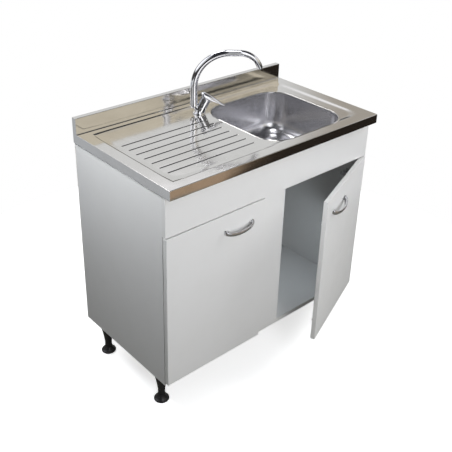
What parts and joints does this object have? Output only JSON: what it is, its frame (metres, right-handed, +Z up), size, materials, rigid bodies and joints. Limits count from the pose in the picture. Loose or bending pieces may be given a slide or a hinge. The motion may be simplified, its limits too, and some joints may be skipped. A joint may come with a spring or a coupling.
{
  "type": "kitchen sink unit",
  "caption": "White two-door base cabinet on legs with a pressed steel top: raised back edge, grooved drainer, deep square bowl and a swan-neck mixer tap.",
  "frame": {"origin": "on the floor, at the wall, in the middle of the unit's width", "axes": "+X to the right when facing the doors, +Y towards the wall, +Z up"},
  "size_m": [0.9, 0.6198, 1.0699],
  "materials": {
    "steel_top": "bright polished stainless sheet",
    "steel_bowl": "satin stainless sheet with a fine radial grain",
    "chrome": "mirror",
    "white_board": "white melamine on particle board, fine orange-peel",
    "board_core": "raw particle board",
    "hardboard": "white lacquered hardboard",
    "black_plastic": "moulded, fine texture",
    "white_plastic": "moulded polypropylene",
    "zinc_steel": "nickel plated pressed steel",
    "rubber": "matte",
    "brass": "turned",
    "clear_bumper": "clear soft polyurethane"
  },
  "bodies": {
    "cabinet": {"sink_top": "steel_top", "sink_bowl": "steel_bowl", "batten_front": "board_core", "batten_rear": "board_core", "batten_left": "board_core", "batten_right": "board_core", "side_panel_left": "white_board", "side_panel_right": "white_board", "bottom_panel": "white_board", "rear_rail": "white_board", "front_fascia": "white_board", "centre_stile": "white_board", "back_panel": "hardboard", "waste_body": "chrome", "waste_gasket": "rubber", "waste_nut": "white_plastic", "trap_inlet_nut": "white_plastic", "trap_inlet_tube": "white_plastic", "trap_body": "white_plastic", "trap_cup": "white_plastic", "trap_outlet_nut": "white_plastic", "trap_outlet_tube": "white_plastic", "corner_brackets": "zinc_steel", "bracket_screws": "zinc_steel", "hinge_plate_screws": "zinc_steel", "tap_body": "chrome", "tap_gasket": "rubber", "tap_stud": "brass", "tap_clamp_plate": "zinc_steel", "tap_nut": "brass", "tap_cartridge": "white_plastic", "leg_front_left": "black_plastic", "leg_front_right": "black_plastic", "leg_rear_left": "black_plastic", "leg_rear_right": "black_plastic", "hinge_arms_left": "zinc_steel", "hinge_plates_left": "zinc_steel", "hinge_arms_right": "zinc_steel", "hinge_plates_right": "zinc_steel"},
    "door_left": {"door_left": "white_board", "handle_left": "chrome", "handle_screws_left": "zinc_steel", "hinge_cups_left": "zinc_steel", "hinge_pins_left": "zinc_steel", "door_bumpers_left": "clear_bumper"},
    "door_right": {"door_right": "white_board", "handle_right": "chrome", "handle_screws_right": "zinc_steel", "hinge_cups_right": "zinc_steel", "hinge_pins_right": "zinc_steel", "door_bumpers_right": "clear_bumper"},
    "spout": {"spout": "chrome", "aerator": "chrome"},
    "lever_hub": {"lever_hub": "chrome"},
    "lever": {"lever": "chrome"},
    "basket": {"strainer_basket": "steel_bowl"},
    "foot_front_left": {"foot_front_left": "black_plastic"},
    "foot_front_right": {"foot_front_right": "black_plastic"},
    "foot_rear_left": {"foot_rear_left": "black_plastic"},
    "foot_rear_right": {"foot_rear_right": "black_plastic"}
  },
  "joints": [
    {"name": "door_left_swing", "type": "hinge", "parent": "cabinet", "child": "door_left", "pos_m": [-0.4385, -0.4665, 0.4085], "axis": [0, 0, -1], "range_deg": [0, 95]},
    {"name": "door_right_swing", "type": "hinge", "parent": "cabinet", "child": "door_right", "pos_m": [0.4385, -0.4665, 0.4085], "axis": [0, 0, 1], "range_deg": [-22, 73]},
    {"name": "spout_swivel", "type": "hinge", "parent": "cabinet", "child": "spout", "pos_m": [-0.03579, -0.09543, 0.887], "axis": [0, 0, 1], "range_deg": [-120, 60]},
    {"name": "lever_turn", "type": "hinge", "parent": "cabinet", "child": "lever_hub", "pos_m": [-0.00419, -0.12194, 0.89785], "axis": [0.3237, -0.2717, 0.9063], "range_deg": [-40, 40]},
    {"name": "lever_lift", "type": "hinge", "parent": "lever_hub", "child": "lever", "pos_m": [-0.00808, -0.11868, 0.90827], "axis": [-0.6428, -0.766, 0], "range_deg": [0, 25]},
    {"name": "basket_lift", "type": "slide", "parent": "cabinet", "child": "basket", "axis": [0, 0, 1], "range_m": [0, 0.014]},
    {"name": "foot_front_left_height", "type": "slide", "parent": "cabinet", "child": "foot_front_left", "axis": [0, 0, -1], "range_m": [0, 0.02]},
    {"name": "foot_front_right_height", "type": "slide", "parent": "cabinet", "child": "foot_front_right", "axis": [0, 0, -1], "range_m": [0, 0.02]},
    {"name": "foot_rear_left_height", "type": "slide", "parent": "cabinet", "child": "foot_rear_left", "axis": [0, 0, -1], "range_m": [0, 0.02]},
    {"name": "foot_rear_right_height", "type": "slide", "parent": "cabinet", "child": "foot_rear_right", "axis": [0, 0, -1], "range_m": [0, 0.02]}
  ]
}
